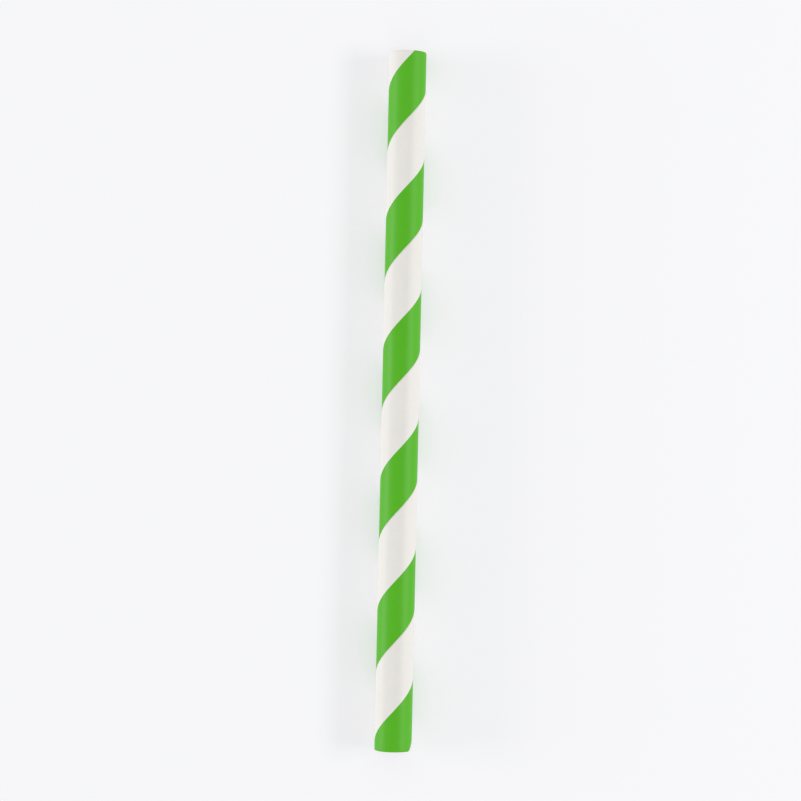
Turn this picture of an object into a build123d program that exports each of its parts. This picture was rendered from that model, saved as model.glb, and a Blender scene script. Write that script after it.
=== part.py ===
from build123d import *
import os
from math import ceil

# A straight paper drinking straw, wound from strips and open at both ends.
# It lies on its side along +Y, with its lowest line on the plane Z = 0.
# All sizes are in millimetres.

# The straw as cut
straw_length = 150.0
outer_diameter = 8.0

# The cut presses the outer edge of each end in along a short curve
cut_edge_length = 0.45
cut_edge_drop = 0.08

# The wall is a thin printed ply over two heavier ones, glued into one
outer_ply = 0.07
base_ply = 0.165
base_plies = 2

# One turn of the winding moves along the straw by the pitch
winding_pitch = 27.9
spare_turns = 1

# The printed stripe, with its middle on the top line above the lower end
stripe_length = 13.3
stripe_offset = 2.25

# The butt seams, each along the straw and from the middle of the stripe
outer_seam_gap = 0.20
bore_seam_gap = 0.25
bore_seam_offset = 12.0

# It has settled on a slight flat along its lowest line, this far inside the round
rest_flat_drop = 0.04

# Radii and places that follow from the sizes
outer_radius = outer_diameter / 2
base_radius = outer_radius - outer_ply
bore_radius = base_radius - base_ply * base_plies
bore_seam_radius = bore_radius + base_ply
axis_height = outer_radius - rest_flat_drop
lower_end = -straw_length / 2
upper_end = straw_length / 2
winding_start = lower_end + stripe_offset - spare_turns * winding_pitch
winding_turns = ceil(straw_length / winding_pitch) + 2 * spare_turns
blank_end = upper_end + (spare_turns + 2) * winding_pitch
straw_axis = Axis((0, 0, axis_height), (0, 1, 0))
lower_cut = Plane(origin=(0, lower_end, 0), z_dir=(0, 1, 0))
upper_cut = Plane(origin=(0, upper_end, 0), z_dir=(0, 1, 0))
blank_start = Plane(origin=(0, -blank_end, axis_height), z_dir=(0, 1, 0))


def long_wall(outer, inner):
    """Return a plain round wall that is longer than the straw."""
    with BuildPart() as wall:
        with BuildSketch(blank_start):
            Circle(outer)
            Circle(inner, mode=Mode.SUBTRACT)
        extrude(amount=2 * blank_end)
    return wall.part


def wound_strip(offset, length, outer, inner):
    """Return a strip wound round the axis, placed from the middle of the stripe."""
    middle = (outer + inner) / 2
    with BuildPart() as strip:
        with BuildLine() as winding:
            Helix(
                pitch=winding_pitch,
                height=winding_turns * winding_pitch,
                radius=middle,
                center=(0, winding_start, axis_height),
                direction=(0, 1, 0),
            )
        with BuildSketch(Plane.YZ):
            with Locations((winding_start + offset, axis_height + middle)):
                Rectangle(length, outer - inner)
        sweep(path=winding.wires()[0], is_frenet=True)
    return strip.part


def finish_outside():
    """Cut the straw from the long tube, press in its ends' edges and flatten it below."""
    split(bisect_by=upper_cut, keep=Keep.BOTTOM)
    split(bisect_by=lower_cut, keep=Keep.TOP)
    add(pressed_edges.part, mode=Mode.SUBTRACT)
    split(bisect_by=Plane.XY, keep=Keep.TOP)


# Rings of waste outside the pressed edges, one at each end
with BuildPart() as pressed_edges:
    with BuildSketch(Plane.YZ):
        with BuildLine():
            edge_arc = RadiusArc(
                (upper_end - cut_edge_length, axis_height + outer_radius),
                (upper_end, axis_height + outer_radius - cut_edge_drop),
                (cut_edge_length**2 + cut_edge_drop**2) / (2 * cut_edge_drop),
            )
            Polyline(
                edge_arc @ 1,
                (edge_arc @ 1) + (cut_edge_length, 0),
                (edge_arc @ 0) + (2 * cut_edge_length, cut_edge_drop),
                (edge_arc @ 0) + (0, cut_edge_drop),
                edge_arc @ 0,
            )
        make_face()
    revolve(axis=straw_axis)
    mirror(about=Plane.XZ)

# The strips that part the outer ply, and the seam inside the bore
cutter_outer = outer_radius + outer_ply
cutter_inner = base_radius - outer_ply
stripe_cutter = wound_strip(0, stripe_length, cutter_outer, cutter_inner)
unprinted_cutter = wound_strip(
    -outer_seam_gap / 2, stripe_length + outer_seam_gap, cutter_outer, cutter_inner
)
bore_seam_cutter = wound_strip(
    bore_seam_offset, bore_seam_gap, bore_seam_radius, bore_radius - base_ply
)
outer_ply_wall = long_wall(outer_radius, base_radius)
base_wall = long_wall(base_radius, bore_radius)

# The printed stripe, flush in the outer ply
with BuildPart() as printed_stripe:
    add(outer_ply_wall)
    add(stripe_cutter, mode=Mode.INTERSECT)
    finish_outside()
printed_stripe.part.label = "printed_stripe"

# The white paper, from the bore out to the unprinted part of the outer ply
with BuildPart() as paper_tube:
    add(outer_ply_wall)
    add(unprinted_cutter, mode=Mode.SUBTRACT)
    add(base_wall)
    add(bore_seam_cutter, mode=Mode.SUBTRACT)
    finish_outside()
paper_tube.part.label = "paper_tube"

os.makedirs("parts", exist_ok=True)
export_step(paper_tube.part, "parts/paper_tube.step")
export_step(printed_stripe.part, "parts/printed_stripe.step")
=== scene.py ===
import logging
import math
from dataclasses import dataclass, field
from enum import Enum
from typing import Any, Optional, Sequence, Union

import bmesh
import bpy
from mathutils import Matrix, Vector, noise


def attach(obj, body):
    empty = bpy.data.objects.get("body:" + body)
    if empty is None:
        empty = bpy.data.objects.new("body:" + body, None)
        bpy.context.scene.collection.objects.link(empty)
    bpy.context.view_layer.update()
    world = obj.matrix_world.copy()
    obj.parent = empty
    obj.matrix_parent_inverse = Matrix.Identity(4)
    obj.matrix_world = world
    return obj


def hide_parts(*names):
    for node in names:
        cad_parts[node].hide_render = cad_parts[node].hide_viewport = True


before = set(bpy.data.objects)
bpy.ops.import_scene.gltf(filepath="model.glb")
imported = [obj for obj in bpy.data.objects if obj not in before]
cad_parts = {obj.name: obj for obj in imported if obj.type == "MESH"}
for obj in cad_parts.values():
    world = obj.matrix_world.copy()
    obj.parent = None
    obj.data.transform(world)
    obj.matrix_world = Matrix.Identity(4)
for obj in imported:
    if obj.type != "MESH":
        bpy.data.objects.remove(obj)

LOG = logging.getLogger("straw")
MM = 0.001

# The map that lays the wound paper out flat, in millimetres along and across it
FLAT_UV = "paper_run"

# How strong each finer layer of a grain is against the layer before it
LAYER_STRENGTH = 0.6

# The Mix node's colour sockets by number, because other sockets share their names
MIX_FIRST, MIX_SECOND, MIX_RESULT = 6, 7, 2

# How near to a cut, in metres, a point is moved onto it, and counts as on it
SNAP_TO_CUT, ON_THE_CUT = 1e-7, 1e-6

# The share of a pressed edge from which a point counts as on the cut
AT_THE_END = 0.999

# The bend, in radians, from which an edge of the mesh shows as sharp
SHARP_BEND = 0.6

Colour = tuple[float, float, float]
Triple = tuple[float, float, float]
Pair = tuple[float, float]
Number = Union["Value", float]
Tint = Union["Value", Colour]
Input = Union["Value", float, Sequence[float]]


class Skin(Enum):
    """The kinds of surface that one piece of paper shows, in the order of its slots."""

    OUTSIDE = 0
    BORE = 1
    CUT = 2


class Edge(Enum):
    """How the faces of a wound strip close after their last row."""

    NEXT_TURN = "joined to the first row of the next turn"
    OWN_START = "joined to their own first row"


class Layers(Enum):
    """How many finer layers a grain has."""

    SOFT = 2.0
    FINE = 3.0
    TORN = 4.0


class Value:
    """A socket of a material, on which sums are written as plain sums."""

    def __init__(
        self, graph: "Graph", socket: Optional[bpy.types.NodeSocket]
    ) -> None:
        """Wrap an output of a graph, or None for a last node, which has none."""
        self.graph = graph
        self.socket = socket

    def _sum(self, operation: str, first: Number, second: Number) -> "Value":
        """Add a Math node.

        Args:
            operation: The node's operation.
            first: Its first value or link.
            second: Its second value or link.

        Returns:
            The node's result.
        """
        return self.graph.node(
            "ShaderNodeMath", {"operation": operation}, {0: first, 1: second}
        )

    def __add__(self, other: Number) -> "Value":
        """Return self + other."""
        return self._sum("ADD", self, other)

    def __radd__(self, other: Number) -> "Value":
        """Return other + self."""
        return self._sum("ADD", other, self)

    def __sub__(self, other: Number) -> "Value":
        """Return self - other."""
        return self._sum("SUBTRACT", self, other)

    def __rsub__(self, other: Number) -> "Value":
        """Return other - self."""
        return self._sum("SUBTRACT", other, self)

    def __mul__(self, other: Number) -> "Value":
        """Return self * other."""
        return self._sum("MULTIPLY", self, other)

    def __rmul__(self, other: Number) -> "Value":
        """Return other * self."""
        return self._sum("MULTIPLY", other, self)

    def __pow__(self, other: Number) -> "Value":
        """Return self to the power of other."""
        return self._sum("POWER", self, other)

    def __rpow__(self, other: Number) -> "Value":
        """Return other to the power of self."""
        return self._sum("POWER", other, self)

    def least(self, other: Number) -> "Value":
        """Return the smaller of self and other."""
        return self._sum("MINIMUM", self, other)

    def most(self, other: Number) -> "Value":
        """Return the larger of self and other."""
        return self._sum("MAXIMUM", self, other)

    def size(self) -> "Value":
        """Return self without its sign."""
        return self._sum("ABSOLUTE", self, 0.0)

    def step(self, low: float, high: float) -> "Value":
        """Return a soft step over self.

        Args:
            low: Where the step starts, at 0.
            high: Where the step ends, at 1.

        Returns:
            The step's value.
        """
        return self.graph.node(
            "ShaderNodeMapRange",
            {"interpolation_type": "SMOOTHSTEP"},
            {"Value": self, "From Min": low, "From Max": high},
        )


class Graph:
    """The node graph of one material or of the world."""

    def __init__(self, tree: bpy.types.NodeTree) -> None:
        """Empty a tree and keep it."""
        self.tree = tree
        tree.nodes.clear()

    def node(
        self,
        kind: str,
        settings: dict[str, Any],
        inputs: dict[Union[str, int], Input],
        output: Union[str, int] = 0,
    ) -> Value:
        """Add a node.

        Args:
            kind: The node's type.
            settings: Its own settings, set first.
            inputs: The values or links of its sockets.
            output: The output that is wanted.

        Returns:
            The wanted output.
        """
        made = self.tree.nodes.new(kind)
        for name, setting in settings.items():
            setattr(made, name, setting)
        for name, given in inputs.items():
            if isinstance(given, Value):
                self.tree.links.new(given.socket, made.inputs[name])
            else:
                made.inputs[name].default_value = given
        return Value(self, made.outputs[output] if made.outputs else None)

    def mixed(self, share: Number, first: Tint, second: Tint) -> Value:
        """Mix two colours.

        Args:
            share: How much of the second colour, from 0 to 1.
            first: The first colour.
            second: The second colour.

        Returns:
            The mixed colour.
        """
        return self.node(
            "ShaderNodeMix",
            {"data_type": "RGBA"},
            {0: share, MIX_FIRST: _rgba(first), MIX_SECOND: _rgba(second)},
            output=MIX_RESULT,
        )

    def scaled(self, vector: Value, by: Triple) -> Value:
        """Scale a vector along each axis.

        Args:
            vector: The vector.
            by: The three factors.

        Returns:
            The scaled vector.
        """
        return self.node(
            "ShaderNodeVectorMath", {"operation": "MULTIPLY"}, {0: vector, 1: by}
        )

    def grain(
        self, vector: Value, spots: float = 1.0, layers: Layers = Layers.SOFT
    ) -> Value:
        """Add a cloud of smooth noise.

        Args:
            vector: Where the noise is read.
            spots: How many spots it has to a unit.
            layers: How many finer layers it has.

        Returns:
            The noise, from 0 to 1.
        """
        return self.node(
            "ShaderNodeTexNoise",
            {},
            {
                "Vector": vector,
                "Scale": spots,
                "Detail": layers.value,
                "Roughness": LAYER_STRENGTH,
            },
        )

    def paper_run(self) -> Value:
        """Return the place on the paper in millimetres, along and across its strip."""
        return self.node("ShaderNodeUVMap", {"uv_map": FLAT_UV}, {})

    def spot(self) -> Value:
        """Return the place in space, in metres."""
        return self.node("ShaderNodeTexCoord", {}, {}, output="Object")

    def part_of(self, vector: Value, axis: str) -> Value:
        """Return one part of a vector, by the name of its axis."""
        return self.node("ShaderNodeSeparateXYZ", {}, {0: vector}, output=axis)


def _rgba(colour: Tint) -> Input:
    """Return a written colour with full alpha, and leave a link as it is."""
    return colour if isinstance(colour, Value) else (*colour, 1.0)


@dataclass(frozen=True)
class Sway:
    """How a grain pushes a value down and up, about the grain's own middle."""

    middle: float
    strength: float

    def of(self, grain: Value) -> Value:
        """Return the push that a grain gives."""
        return (grain - self.middle) * self.strength


@dataclass(frozen=True)
class Finish:
    """Plain paper, which every surface of the straw starts from.

    Grains are given by their number of spots to a millimetre of the strip.
    """

    name: str
    colour: Colour
    roughness: float = 0.5
    specular: float = 0.3
    relief: float = 0.045 * MM
    mottle: float = 0.09
    long_fibres: Triple = (0.9, 9.0, 1.0)
    cross_fibres: Triple = (6.0, 2.2, 1.0)
    tooth: float = 16.0
    fibre_shares: Triple = (0.45, 0.3, 0.25)
    clouds: Pair = (0.35, 1.6)
    cloud_shares: Pair = (0.6, 0.4)
    tone_by_fibres: Sway = Sway(0.35, 1.1)
    tone_by_cloud: Sway = Sway(0.4, 0.9)
    gloss_by_fibres: Sway = Sway(0.5, -0.16)
    gloss_by_cloud: Sway = Sway(0.5, 0.1)

    def fibres(self, graph: Graph) -> Value:
        """Return the fibres' height: long along the strip, fine across it.

        Args:
            graph: The material's graph.

        Returns:
            The height, from 0 to 1.
        """
        run = graph.paper_run()
        long_run = graph.scaled(run, self.long_fibres)
        cross_run = graph.scaled(run, self.cross_fibres)
        long_ones = graph.grain(long_run, layers=Layers.FINE)
        cross_ones = graph.grain(cross_run, layers=Layers.FINE)
        tooth = graph.grain(run, self.tooth)
        long_share, cross_share, tooth_share = self.fibre_shares
        return long_ones * long_share + cross_ones * cross_share + tooth * tooth_share

    def cloud(self, graph: Graph) -> Value:
        """Return the uneven look-through of paper.

        Args:
            graph: The material's graph.

        Returns:
            The cloud, from 0 to 1.
        """
        run = graph.paper_run()
        broad = graph.grain(run, self.clouds[0], Layers.FINE)
        small = graph.grain(run, self.clouds[1])
        return broad * self.cloud_shares[0] + small * self.cloud_shares[1]

    def tone(self, graph: Graph, height: Value) -> Value:
        """Return the colour, a little darker in the hollows and clouds.

        Args:
            graph: The material's graph.
            height: The fibres' height.

        Returns:
            The colour.
        """
        deep = tuple((1 - self.mottle) * part for part in self.colour)
        clouded = self.tone_by_cloud.of(self.cloud(graph))
        share = self.tone_by_fibres.of(height) + clouded
        return graph.mixed(share.most(0.0).least(1.0), deep, self.colour)

    def gloss(self, graph: Graph, height: Value) -> Value:
        """Return the roughness, with the raised fibres pressed smoother."""
        clouded = self.gloss_by_cloud.of(self.cloud(graph))
        return self.roughness + self.gloss_by_fibres.of(height) + clouded

    def material(self) -> bpy.types.Material:
        """Make the material.

        Returns:
            The material.
        """
        made = bpy.data.materials.new(self.name)
        made.use_nodes = True
        made.diffuse_color = _rgba(self.colour)
        graph = Graph(made.node_tree)
        height = self.fibres(graph)
        normal = graph.node(
            "ShaderNodeBump", {}, {"Distance": self.relief, "Height": height}
        )
        shader = graph.node(
            "ShaderNodeBsdfPrincipled",
            {},
            {
                "Base Color": self.tone(graph, height),
                "Roughness": self.gloss(graph, height),
                "Specular IOR Level": self.specular,
                "Normal": normal,
            },
        )
        graph.node("ShaderNodeOutputMaterial", {}, {"Surface": shader})
        return made


@dataclass(frozen=True, kw_only=True)
class CutFinish(Finish):
    """The cut end of the wall, where fine glue lines show between the plies.

    Its own grains are given by their number of spots to a metre.
    """

    axis_height: float
    glue_radii: tuple[float, ...]
    glue_width: float = 0.018 * MM
    glue_core: float = 0.3
    glue_strength: float = 0.6
    glue_colour: Colour = (0.62, 0.58, 0.5)
    glue_grain: float = 9000.0
    glue_wander: Sway = Sway(0.5, 0.05 * MM)
    torn_grain: float = 14000.0

    def tone(self, graph: Graph, height: Value) -> Value:
        """Return the cut paper's colour with its glue lines.

        Args:
            graph: The material's graph.
            height: The fibres' height.

        Returns:
            The colour.
        """
        spot = graph.spot()
        across = graph.part_of(spot, "X")
        up = graph.part_of(spot, "Z") - self.axis_height
        radius = (across * across + up * up) ** 0.5
        wander = self.glue_wander.of(graph.grain(spot, self.glue_grain))
        colour = super().tone(graph, height)
        for glued in self.glue_radii:
            off = (radius + wander - glued).size()
            line = 1 - off.step(self.glue_core * self.glue_width, self.glue_width)
            colour = graph.mixed(line * self.glue_strength, colour, self.glue_colour)
        return colour

    def fibres(self, graph: Graph) -> Value:
        """Return the height of the torn fibres on the cut, from 0 to 1."""
        return graph.grain(graph.spot(), self.torn_grain, Layers.TORN)


@dataclass(frozen=True, kw_only=True)
class PrintFinish(Finish):
    """Ink on the paper, a little uneven, and ragged along its two edges.

    Its widths are in millimetres of the strip.
    """

    paper: Colour
    half_width: float
    worn_grain: float = 3.0
    worn_share: float = 0.5
    worn_heights: Pair = (0.92, 1.12)
    worn_strength: float = 0.22
    edge_grain: float = 5.0
    ragged: float = 0.05

    def tone(self, graph: Graph, height: Value) -> Value:
        """Return the ink's colour, thin on the highest fibres.

        Args:
            graph: The material's graph.
            height: The fibres' height.

        Returns:
            The colour.
        """
        ink = super().tone(graph, height)
        run = graph.paper_run()
        raised = height + graph.grain(run, self.worn_grain) * self.worn_share
        thin = raised.step(*self.worn_heights) * self.worn_strength
        worn = graph.mixed(thin, ink, self.paper)
        wander = Sway(0.5, 2.0 * self.ragged)
        spots = graph.grain(run, self.edge_grain, Layers.FINE)
        reach = graph.part_of(run, "Y").size() + wander.of(spots)
        bare = reach.step(self.half_width - self.ragged, self.half_width)
        return graph.mixed(bare, worn, self.paper)


@dataclass(frozen=True)
class Row:
    """One line of points wound round the straw.

    The offset is along the straw from the middle of the stripe.
    """

    offset: float
    radius: float
    skin: Skin = Skin.OUTSIDE
    uneven: bool = False


def rows_between(
    start: float,
    end: float,
    radius: float,
    spacing: float,
    skin: Skin = Skin.OUTSIDE,
    uneven: bool = False,
) -> list[Row]:
    """Spread rows evenly over a stretch of a strip, with both its ends.

    Args:
        start: The first row's offset.
        end: The last row's offset.
        radius: The radius of all the rows.
        spacing: About how far apart the rows are.
        skin: The surface that they show.
        uneven: Whether the paper's waviness moves them.

    Returns:
        The rows.
    """
    steps = max(1, round(abs(end - start) / spacing))
    return [
        Row(start + (end - start) * k / steps, radius, skin, uneven)
        for k in range(steps + 1)
    ]


@dataclass(frozen=True)
class Waves:
    """The slight waviness of the outside, longer along the straw than round it.

    The broad waves' sizes are in millimetres.
    """

    depth: float = 0.010 * MM
    broad_sizes: Triple = (2.6, 5.5, 2.6)
    fine_size: float = 0.9 * MM
    fine_squeeze: float = 0.6
    middle: float = 0.5
    broad_share: float = 0.35
    fine_share: float = 0.15

    def sunk(self, spot: Vector) -> float:
        """Return how far the waves sink a point of the outside.

        Args:
            spot: The point, with its height taken from the straw's axis.

        Returns:
            The depth, from 0 to the waves' own.
        """
        wide, long, high = self.broad_sizes
        broad = noise.noise(Vector((spot.x / wide, spot.y / long, spot.z / high)) / MM)
        squeezed = Vector((spot.x, spot.y * self.fine_squeeze, spot.z))
        fine = noise.noise(squeezed / self.fine_size)
        share = self.middle + self.broad_share * broad + self.fine_share * fine
        return self.depth * share


@dataclass(frozen=True)
class Winding:
    """The sizes that every wound face of the straw shares.

    The edge of a ply is rounded by ply_rounding. In units of that, shoulder_start is
    how far in the round begins, and shoulder gives its points, each in and down.
    """

    length: float = 150.0 * MM
    outer_radius: float = 4.0 * MM
    base_radius: float = 3.93 * MM
    middle_radius: float = 3.765 * MM
    bore_radius: float = 3.6 * MM
    axis_height: float = 3.96 * MM
    pitch: float = 27.9 * MM
    stripe_length: float = 13.3 * MM
    stripe_offset: float = 2.25 * MM
    seam_gap: float = 0.2 * MM
    bore_seam_offset: float = 12.0 * MM
    bore_seam_gap: float = 0.25 * MM
    edge_length: float = 0.45 * MM
    edge_drop: float = 0.08 * MM
    ply_rounding: float = 0.015 * MM
    shoulder_start: float = 2.0
    shoulder: tuple[Pair, Pair] = ((0.5, 0.4), (0.0, 1.4))
    outside_spacing: float = 0.5 * MM
    covered_spacing: float = 2.2 * MM
    bore_spacing: float = 0.9 * MM
    columns: int = 96
    spare_turns: int = 2
    waves: Waves = Waves()

    @property
    def lean(self) -> float:
        """Return the angle between the strip and a ring round the straw."""
        return math.atan2(self.pitch, math.tau * self.outer_radius)

    @property
    def turns(self) -> range:
        """Return the turns that reach past both ends of the straw."""
        needed = math.ceil(self.length / self.pitch)
        return range(-self.spare_turns, needed + self.spare_turns)

    @property
    def half_stripe(self) -> float:
        """Return half the stripe's length along the straw."""
        return self.stripe_length / 2

    @property
    def rounded_from(self) -> float:
        """Return how far from a ply's edge its rounding starts."""
        return self.shoulder_start * self.ply_rounding

    def along(self, turn: float, offset: float) -> float:
        """Return the Y of an offset from the stripe's middle at a turn of the strip."""
        start = self.stripe_offset - self.length / 2
        return start + offset + self.pitch * turn

    def point(self, turn: float, row: Row) -> Vector:
        """Return the place of a row's point.

        Args:
            turn: How many turns from the top line at the first stripe.
            row: The row.

        Returns:
            The point.
        """
        angle = math.tau * turn
        spot = Vector((math.sin(angle), 0.0, math.cos(angle))) * row.radius
        spot.y = self.along(turn, row.offset)
        if row.uneven:
            share = 1.0 - self.waves.sunk(spot) / row.radius
            spot.x *= share
            spot.z *= share
        spot.z += self.axis_height
        return spot

    def unrolled(self, turn: float, offset: float) -> Pair:
        """Return the place on the flat strip.

        Args:
            turn: How many turns from the top line at the first stripe.
            offset: How far along the straw from the middle of the stripe.

        Returns:
            The millimetres along and across the strip.
        """
        round_run = math.tau * self.outer_radius * turn * math.cos(self.lean)
        along_run = self.along(turn, offset) * math.sin(self.lean)
        return (round_run + along_run) / MM, offset * math.cos(self.lean) / MM

    def ply_edge(self, offset: float, inward: float) -> list[Row]:
        """Return the rows over the rounded edge of the outer ply and down its side.

        Args:
            offset: The edge's offset.
            inward: 1.0 if the ply reaches from its edge towards +Y, and -1.0 if not.

        Returns:
            The rows, from the outside down.
        """
        small, top = self.ply_rounding, self.outer_radius
        over = [
            Row(offset + inward * back * small, top - down * small)
            for back, down in self.shoulder
        ]
        return [*over, Row(offset, self.base_radius)]


@dataclass
class WoundPiece:
    """A piece of the straw that is built from wound strips and cut to length.

    The end rings are rings of edges near each cut, at shares of the pressed edge's
    length. The spare is how far under the pressed surface a covered point is kept,
    and slack is the share of it by which such a point may lie above the base plies.
    """

    winding: Winding
    name: str
    node: str
    slot: str
    finishes: tuple[Finish, ...]
    end_rings: tuple[float, ...]
    spare: float
    slack: float = 0.1
    cut_unevenness: float = 0.03 * MM
    cut_wave: float = 0.5 * MM
    mesh: bmesh.types.BMesh = field(default_factory=bmesh.new)

    def wind(self, rows: Sequence[Row], edge: Edge, outward: bool) -> None:
        """Wind a strip of faces round the straw.

        Args:
            rows: The strip's rows, in order.
            edge: How the strip closes after its last row.
            outward: Whether the rows run so that their faces look outward.
        """
        maps = self.mesh.loops.layers.uv
        flat = maps.get(FLAT_UV) or maps.new(FLAT_UV)
        columns, turns = self.winding.columns, self.winding.turns
        steps = range(turns[0] * columns, turns[-1] * columns)
        points = {
            (m, i): self.mesh.verts.new(self.winding.point(m / columns, row))
            for m in steps
            for i, row in enumerate(rows)
        }
        order = (0, 1, 2, 3) if outward else (3, 2, 1, 0)
        for m in steps[:-1]:
            for i, row in enumerate(rows):
                ahead, after, shift = 0, i + 1, 0.0
                if after == len(rows):
                    after = 0
                    if edge is Edge.NEXT_TURN:
                        ahead, shift = columns, self.winding.pitch
                far = m + ahead
                corners = [(m, i), (far, after), (far + 1, after), (m + 1, i)]
                if any(corner not in points for corner in corners):
                    continue
                here, there = row.offset, rows[after].offset + shift
                places = [(m, here), (m, there), (m + 1, there), (m + 1, here)]
                face = self.mesh.faces.new([points[corners[k]] for k in order])
                face.smooth = True
                face.material_index = row.skin.value
                for loop, k in zip(face.loops, order):
                    column, offset = places[k]
                    loop[flat].uv = self.winding.unrolled(column / columns, offset)

    def slice_at(self, place: float, outward: float, cut: bool) -> None:
        """Cut the mesh across the straw.

        Args:
            place: The Y of the cut.
            outward: 1.0 if the waste lies towards +Y, and -1.0 if towards -Y.
            cut: Whether the waste is taken away, or only a ring of edges made.
        """
        bmesh.ops.bisect_plane(
            self.mesh,
            geom=[*self.mesh.verts, *self.mesh.edges, *self.mesh.faces],
            dist=SNAP_TO_CUT,
            plane_co=(0.0, place, 0.0),
            plane_no=(0.0, outward, 0.0),
            clear_outer=cut,
        )

    def close_at(self, place: float, outward: float) -> None:
        """Fill the wall that a cut has left open.

        Args:
            place: The Y of the cut.
            outward: 1.0 if the waste lay towards +Y, and -1.0 if towards -Y.
        """
        rim = [
            edge
            for edge in self.mesh.edges
            if edge.is_boundary
            and all(abs(vert.co.y - place) < ON_THE_CUT for vert in edge.verts)
        ]
        made = bmesh.ops.triangle_fill(
            self.mesh, edges=rim, use_beauty=True, normal=(0.0, outward, 0.0)
        )
        for face in made["geom"]:
            if isinstance(face, bmesh.types.BMFace):
                face.material_index = Skin.CUT.value

    def cut_to(self, length: float) -> None:
        """Cut both ends, ring them with edges and close them.

        Args:
            length: The length that is kept.
        """
        for outward in (1.0, -1.0):
            self.slice_at(outward * length / 2, outward, True)
            for share in self.end_rings:
                ring = self.winding.edge_length * share
                self.slice_at(outward * (length / 2 - ring), outward, False)
            self.close_at(outward * length / 2, outward)

    def press_ends(self) -> None:
        """Press the outer edge of each end in and leave the cuts a little uneven."""
        wound = self.winding
        start = wound.length / 2 - wound.edge_length
        covered_below = wound.base_radius + self.slack * self.spare
        for vert in self.mesh.verts:
            radius = math.hypot(vert.co.x, vert.co.z - wound.axis_height)
            past = max(0.0, abs(vert.co.y) - start) / wound.edge_length
            most = wound.outer_radius - wound.edge_drop * past**2
            if past and radius > most - self.spare:
                kept = most - (self.spare if radius < covered_below else 0.0)
                share = kept / radius
                if share < 1.0:
                    above = vert.co.z - wound.axis_height
                    vert.co.x *= share
                    vert.co.z = wound.axis_height + above * share
            if past > AT_THE_END:
                rough = noise.noise(vert.co / self.cut_wave) * 0.5 + 0.5
                vert.co.y -= math.copysign(self.cut_unevenness * rough, vert.co.y)
            vert.co.z = max(vert.co.z, 0.0)

    def finish(self) -> bpy.types.Object:
        """Make the object, dress it and set it in place of its solid.

        Returns:
            The piece.
        """
        bmesh.ops.recalc_face_normals(self.mesh, faces=self.mesh.faces[:])
        for edge in self.mesh.edges:
            edge.smooth = edge.is_manifold and edge.calc_face_angle(0.0) < SHARP_BEND
        data = bpy.data.meshes.new(self.name)
        self.mesh.to_mesh(data)
        self.mesh.free()
        for finish in self.finishes:
            data.materials.append(finish.material())
        made = bpy.data.objects.new(self.name, data)
        bpy.context.scene.collection.objects.link(made)
        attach(made, "root")
        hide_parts(self.node)
        return made


@dataclass
class PaperTube(WoundPiece):
    """The white paper, from the bore out to the unprinted part of the outer ply."""

    end_rings: tuple[float, ...] = (0.12, 0.3, 0.55, 1.0)
    spare: float = 0.002 * MM

    def outside(self) -> list[Row]:
        """Lay out the outside, from the print's lower edge to the seam.

        Returns:
            The rows, with the covered ones first.
        """
        wound = self.winding
        half, top = wound.half_stripe, wound.outer_radius
        end = wound.pitch - half - wound.seam_gap
        covered = rows_between(-half, half, wound.base_radius, wound.covered_spacing)
        white = rows_between(
            half, end - wound.rounded_from, top, wound.outside_spacing, uneven=True
        )
        return [*covered, *white, *wound.ply_edge(end, -1.0)]

    def inside(self) -> list[Row]:
        """Lay out the bore, with the groove of its own seam.

        Returns:
            The rows, with the groove first.
        """
        wound = self.winding
        start = wound.bore_seam_offset - wound.bore_seam_gap / 2
        end = start + wound.bore_seam_gap
        groove = [
            Row(start, wound.bore_radius, Skin.BORE),
            Row(start, wound.middle_radius, Skin.BORE),
            Row(end, wound.middle_radius, Skin.BORE),
        ]
        bore = rows_between(
            end, start + wound.pitch, wound.bore_radius, wound.bore_spacing, Skin.BORE
        )
        return [*groove, *bore[:-1]]

    def build(self) -> bpy.types.Object:
        """Build the tube.

        Returns:
            The piece.
        """
        self.wind(self.outside(), Edge.NEXT_TURN, outward=True)
        self.wind(self.inside(), Edge.NEXT_TURN, outward=False)
        self.cut_to(self.winding.length)
        self.press_ends()
        return self.finish()


@dataclass
class PrintedStripe(WoundPiece):
    """The printed part of the outer ply, a thin band flush with the white."""

    end_rings: tuple[float, ...] = (0.1, 0.28, 0.52, 0.93)
    spare: float = 0.006 * MM
    short_of_end: float = 0.03 * MM

    def around(self) -> list[Row]:
        """Lay out the band, first over its outside and then under it.

        Returns:
            The rows, from the foot of its rounded edge.
        """
        wound = self.winding
        half, top = wound.half_stripe, wound.outer_radius
        edge = reversed(wound.ply_edge(-half, 1.0))
        printed = rows_between(
            -half + wound.rounded_from, half, top, wound.outside_spacing, uneven=True
        )
        covered = rows_between(half, -half, wound.base_radius, wound.covered_spacing)
        return [*edge, *printed, *covered[:-1]]

    def build(self) -> bpy.types.Object:
        """Build the band.

        Returns:
            The piece.
        """
        self.wind(self.around(), Edge.OWN_START, outward=True)
        self.cut_to(self.winding.length - 2 * self.short_of_end)
        self.press_ends()
        return self.finish()


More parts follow.
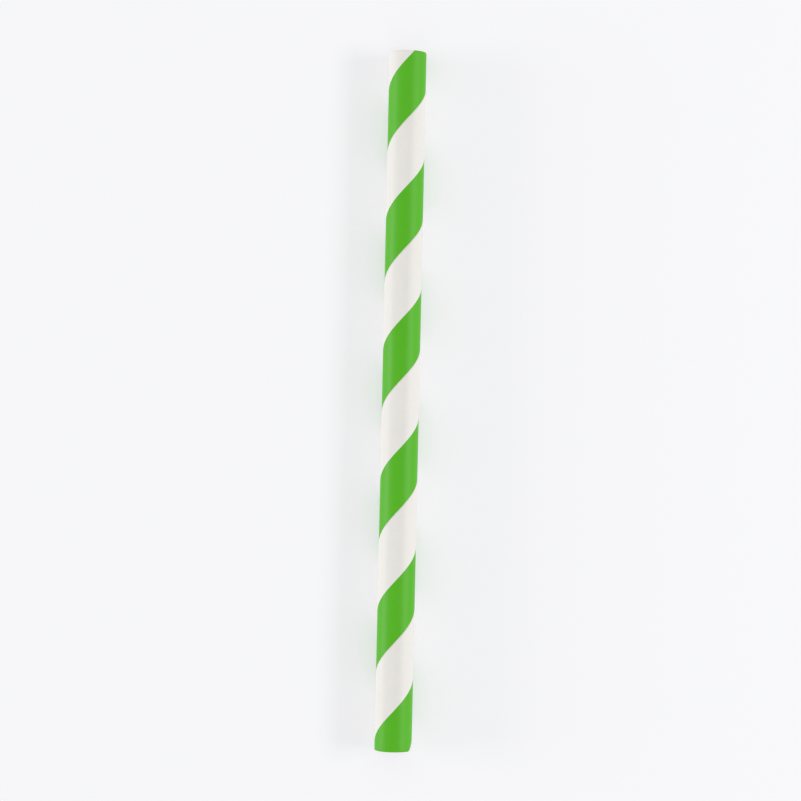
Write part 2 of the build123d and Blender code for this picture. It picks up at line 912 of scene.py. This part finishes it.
@dataclass(frozen=True)
class Softbox:
    """One soft lamp, given by where it hangs round the straw."""

    name: str
    bearing: float
    elevation: float
    height: float
    power: float
    distance: float = 1.2
    width: float = 0.5

    def build(self) -> bpy.types.Object:
        """Hang the lamp and aim it at the straw.

        Returns:
            The lamp.
        """
        data = bpy.data.lights.new(self.name, "AREA")
        data.shape = "RECTANGLE"
        data.size, data.size_y = self.width, self.height
        data.energy = self.power
        made = bpy.data.objects.new(self.name, data)
        bearing, rise = math.radians(self.bearing), math.radians(self.elevation)
        away = Vector(
            (
                math.cos(rise) * math.cos(bearing),
                math.cos(rise) * math.sin(bearing),
                math.sin(rise),
            )
        )
        made.location = away * self.distance
        made.rotation_euler = away.to_track_quat("Z", "Y").to_euler()
        bpy.context.scene.collection.objects.link(made)
        return made


@dataclass(frozen=True)
class Studio:
    """The pale floor, the even light of the room and the lamps.

    Near the straw the floor shows as the background by the share floor_glow alone,
    so that a shadow falls on it. From lit_radius out to fade_radius that share grows
    to all of it.
    """

    floor_colour: Colour = (0.965, 0.965, 0.98)
    room_light: float = 0.67
    background: Colour = (0.925, 0.926, 0.942)
    floor_glow: float = 0.55
    lit_radius: float = 0.1
    fade_radius: float = 0.35
    floor_half: float = 20.0
    lamps: tuple[Softbox, ...] = (
        Softbox("right_softbox", bearing=0.0, elevation=32.0, height=0.24, power=5.8),
        Softbox("left_softbox", bearing=180.0, elevation=13.0, height=0.3, power=6.4),
    )

    def shown(self, graph: Graph) -> Value:
        """Say where the background is looked at.

        Args:
            graph: The floor's graph or the room's.

        Returns:
            1 for the camera, a gloss and what is seen through, and 0 for all else.
        """
        seen, mirrored, passed = (
            graph.node("ShaderNodeLightPath", {}, {}, output=ray)
            for ray in ("Is Camera Ray", "Is Glossy Ray", "Is Transmission Ray")
        )
        return seen.most(mirrored).most(passed)

    def glow_share(self, graph: Graph) -> Value:
        """Return how far the floor shows as the background.

        Args:
            graph: The floor's graph.

        Returns:
            The share, from the floor's own near the straw to 1 far out.
        """
        spot = graph.spot()
        across, along = graph.part_of(spot, "X"), graph.part_of(spot, "Y")
        distance = (across * across + along * along) ** 0.5
        far = distance.step(self.lit_radius, self.fade_radius)
        return self.floor_glow + far * (1.0 - self.floor_glow)

    def floor_material(self) -> bpy.types.Material:
        """Make the floor's material, which keeps the straw's shadow.

        Returns:
            The material.
        """
        made = bpy.data.materials.new("studio_floor")
        made.use_nodes = True
        graph = Graph(made.node_tree)
        lit = graph.node(
            "ShaderNodeBsdfDiffuse", {}, {"Color": _rgba(self.floor_colour)}
        )
        glow = graph.node("ShaderNodeEmission", {}, {"Color": _rgba(self.background)})
        share = self.shown(graph) * self.glow_share(graph)
        shader = graph.node("ShaderNodeMixShader", {}, {0: share, 1: lit, 2: glow})
        graph.node("ShaderNodeOutputMaterial", {}, {"Surface": shader})
        return made

    def floor(self) -> bpy.types.Object:
        """Lay the floor.

        Returns:
            The floor, which isn't part of the straw.
        """
        low, high = -self.floor_half, self.floor_half
        corners = [(low, low, 0), (high, low, 0), (high, high, 0), (low, high, 0)]
        data = bpy.data.meshes.new("studio_floor")
        data.from_pydata(corners, [], [(0, 1, 2, 3)])
        data.materials.append(self.floor_material())
        made = bpy.data.objects.new("studio_floor", data)
        bpy.context.scene.collection.objects.link(made)
        return made

    def room(self) -> None:
        """Light the room evenly, and show its background to the camera and in gloss."""
        world = bpy.data.worlds.new("studio_room")
        world.use_nodes = True
        bpy.context.scene.world = world
        graph = Graph(world.node_tree)
        even = (self.room_light,) * 3
        colour = graph.mixed(self.shown(graph), even, self.background)
        light = graph.node("ShaderNodeBackground", {}, {"Color": colour})
        graph.node("ShaderNodeOutputWorld", {}, {"Surface": light})

    def build(self) -> list[bpy.types.Object]:
        """Set up the floor, the room and the lamps.

        Returns:
            The floor and the lamps.
        """
        floor = self.floor()
        self.room()
        return [floor, *(lamp.build() for lamp in self.lamps)]


@dataclass(frozen=True)
class Viewpoint:
    """The camera, straight above the straw and a little towards its lower end."""

    place: Triple = (0.0, -0.009, 0.492)
    target: Triple = (0.0, 0.0, 0.004)
    lens: float = 102.0
    sensor_width: float = 36.0
    lean: float = 1.244

    def build(self) -> bpy.types.Object:
        """Set the camera up so that the straw's upper end leans to the right.

        Returns:
            The camera.
        """
        data = bpy.data.cameras.new("viewpoint")
        data.lens = self.lens
        data.sensor_width = self.sensor_width
        made = bpy.data.objects.new("viewpoint", data)
        back = (Vector(self.place) - Vector(self.target)).normalized()
        run = Vector((0.0, 1.0, 0.0))
        upright = (run - back * run.dot(back)).normalized()
        turn = math.radians(self.lean)
        up = upright * math.cos(turn) - upright.cross(back) * math.sin(turn)
        turned = Matrix((up.cross(back), up, back)).transposed()
        made.matrix_world = Matrix.Translation(self.place) @ turned.to_4x4()
        bpy.context.scene.collection.objects.link(made)
        bpy.context.scene.camera = made
        return made


def triangles(piece: bpy.types.Object) -> int:
    """Return how many triangles a piece has."""
    return sum(len(face.vertices) - 2 for face in piece.data.polygons)


def main() -> None:
    """Build the straw, the studio and the camera, and report each."""
    logging.basicConfig(level=logging.INFO, format="%(name)s: %(message)s")
    bpy.context.scene.view_settings.view_transform = "Standard"
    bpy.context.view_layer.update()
    wound = Winding()
    white = Finish("white_paper", colour=(0.845, 0.821, 0.782))
    bore = Finish("bore_paper", colour=(0.78, 0.765, 0.73), roughness=0.6)
    cut = CutFinish(
        "cut_paper",
        colour=bore.colour,
        roughness=0.8,
        relief=0.03 * MM,
        axis_height=wound.axis_height,
        glue_radii=(wound.base_radius, wound.middle_radius),
    )
    green = PrintFinish(
        "green_print",
        colour=(0.088, 0.475, 0.004),
        roughness=0.46,
        mottle=0.13,
        paper=white.colour,
        half_width=wound.half_stripe * math.cos(wound.lean) / MM,
    )
    tube = PaperTube(
        wound, "paper_wall", "paper_tube", "white_paper", (white, bore, cut)
    )
    stripe = PrintedStripe(
        wound, "green_stripe", "printed_stripe", "green_print", (green, bore, cut)
    )
    for piece in (tube, stripe):
        count = triangles(piece.build())
        LOG.info("%s: %d triangles in place of %s", piece.name, count, piece.node)
    for item in Studio().build():
        LOG.info("%s: in the studio", item.name)
    LOG.info("%s: looks down on the straw", Viewpoint().build().name)


if __name__ == "__main__":
    main()
